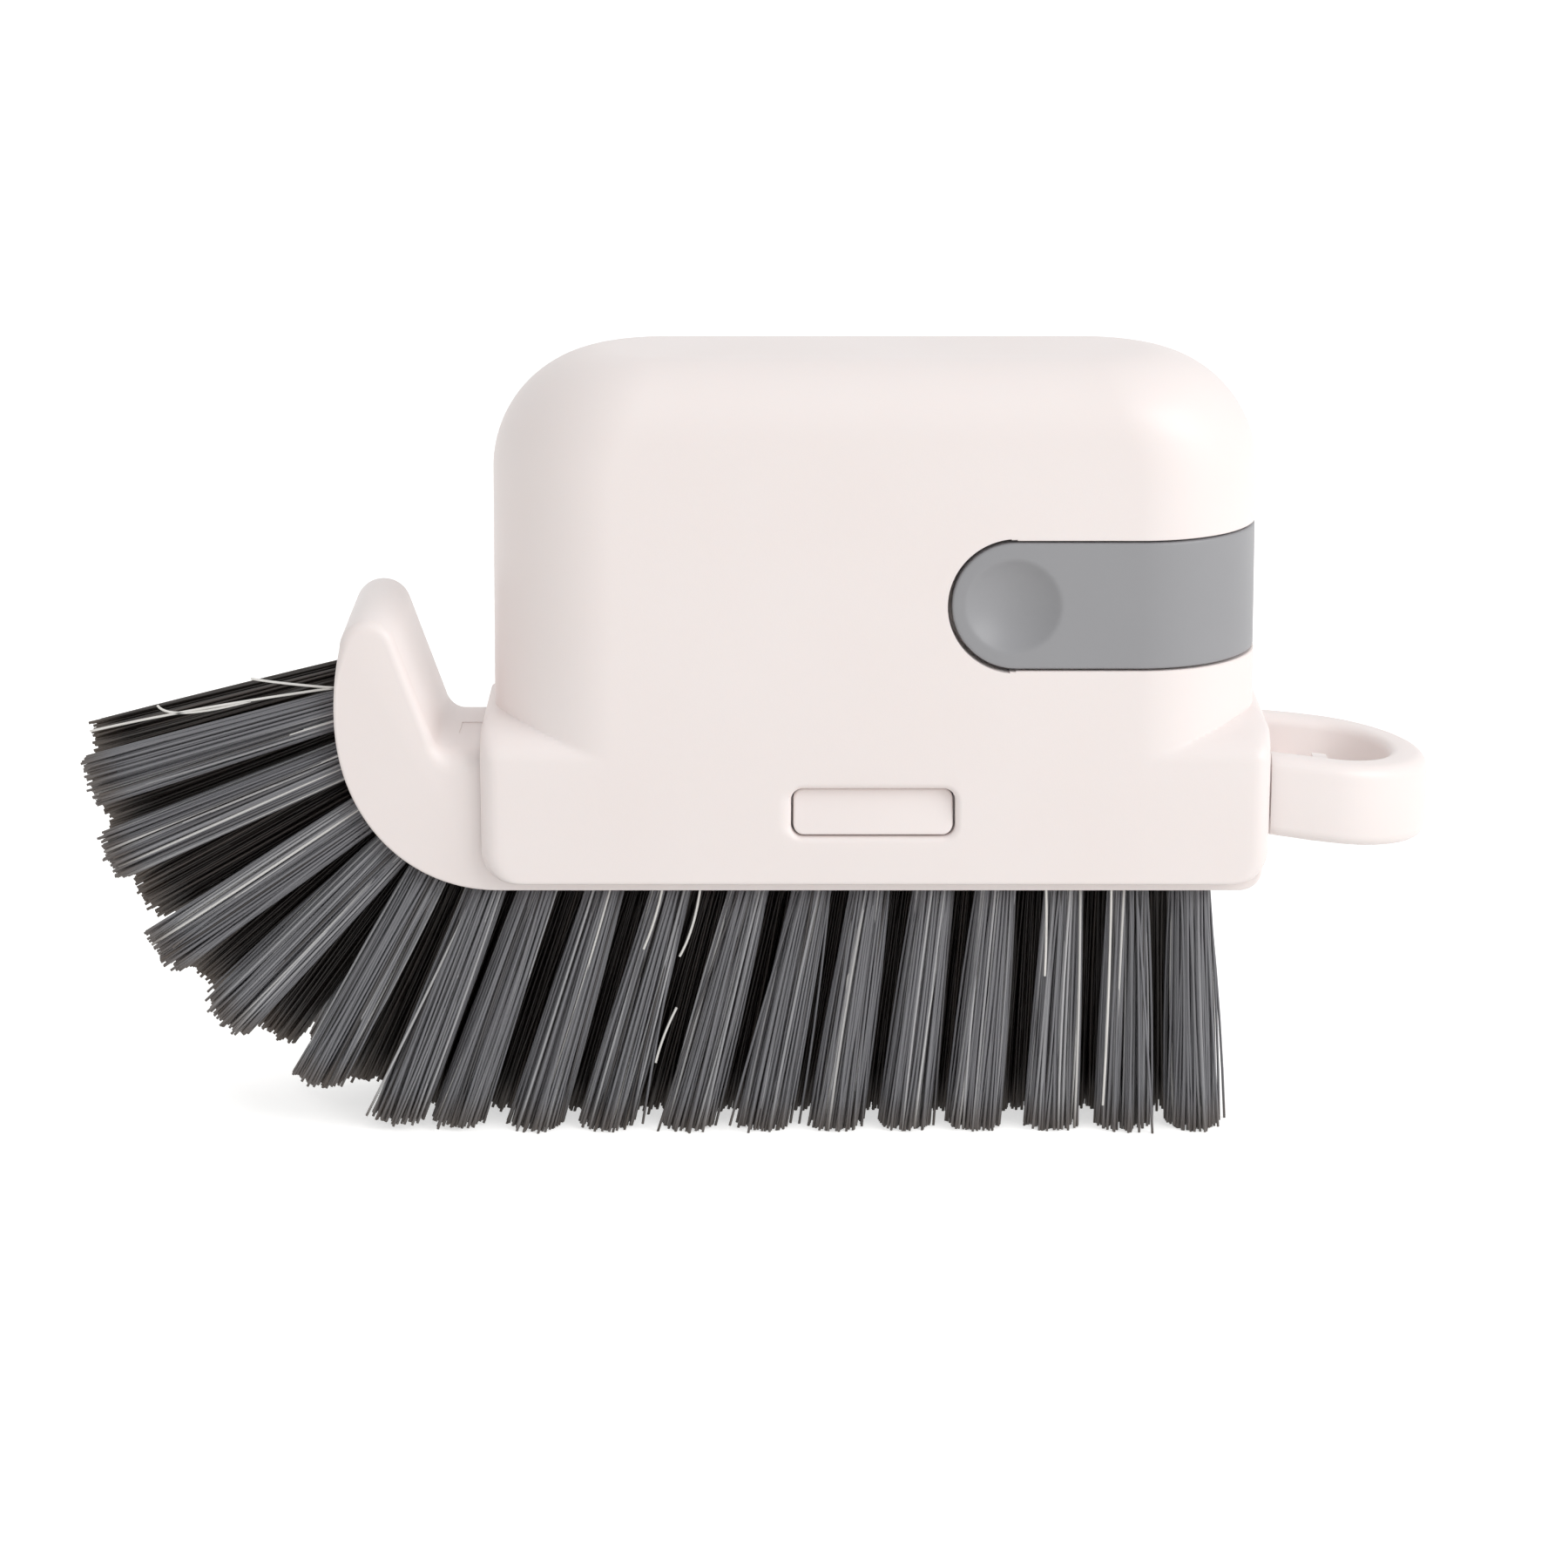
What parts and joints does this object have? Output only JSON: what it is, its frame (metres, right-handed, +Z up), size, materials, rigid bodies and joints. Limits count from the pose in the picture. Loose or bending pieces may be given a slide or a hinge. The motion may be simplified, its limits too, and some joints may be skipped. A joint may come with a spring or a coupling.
{
  "type": "window track brush",
  "caption": "Palm-held window track brush: a hollow housing snaps over a bristled head with a curved hooked nose, a hanging loop and a grey pinch clip.",
  "frame": {"origin": "on the ground under the middle of the overall length and depth, at the bristle tips", "axes": "+X towards the hanging loop, +Y away from the front, +Z up from the tips to the crown of the housing"},
  "size_m": [0.1572, 0.029, 0.0919],
  "materials": {
    "white_plastic": "satin moulded warm white",
    "grey_plastic": "satin moulded mid grey",
    "grey_bristle": "stiff nylon filament, dark grey with a slight sheen"
  },
  "bodies": {
    "brush_head": {"brush_base": "white_plastic", "hanging_loop": "white_plastic", "bristles_front": "grey_bristle", "bristles_middle": "grey_bristle", "bristles_back": "grey_bristle", "bristles_nose_lower": "grey_bristle", "bristles_nose_upper": "grey_bristle"},
    "housing": {"housing_shell": "white_plastic"},
    "clip": {"side_clip": "grey_plastic"},
    "front_catch": {"catch_front": "white_plastic"},
    "back_catch": {"catch_back": "white_plastic"}
  },
  "joints": [
    {"name": "housing_lift", "type": "slide", "parent": "brush_head", "child": "housing", "axis": [0, 0, 1], "range_m": [0, 0.03], "deforming": ["catch_front", "catch_back"]},
    {"name": "clip_pull", "type": "slide", "parent": "housing", "child": "clip", "axis": [1, 0, 0], "range_m": [0, 0.04]},
    {"name": "catch_front_press", "type": "slide", "parent": "brush_head", "child": "front_catch", "axis": [0, 1, 0], "range_m": [0, 0.0023], "stiffness_N_per_m": 400},
    {"name": "catch_back_press", "type": "slide", "parent": "brush_head", "child": "back_catch", "axis": [0, -1, 0], "range_m": [0, 0.0023], "stiffness_N_per_m": 400}
  ]
}
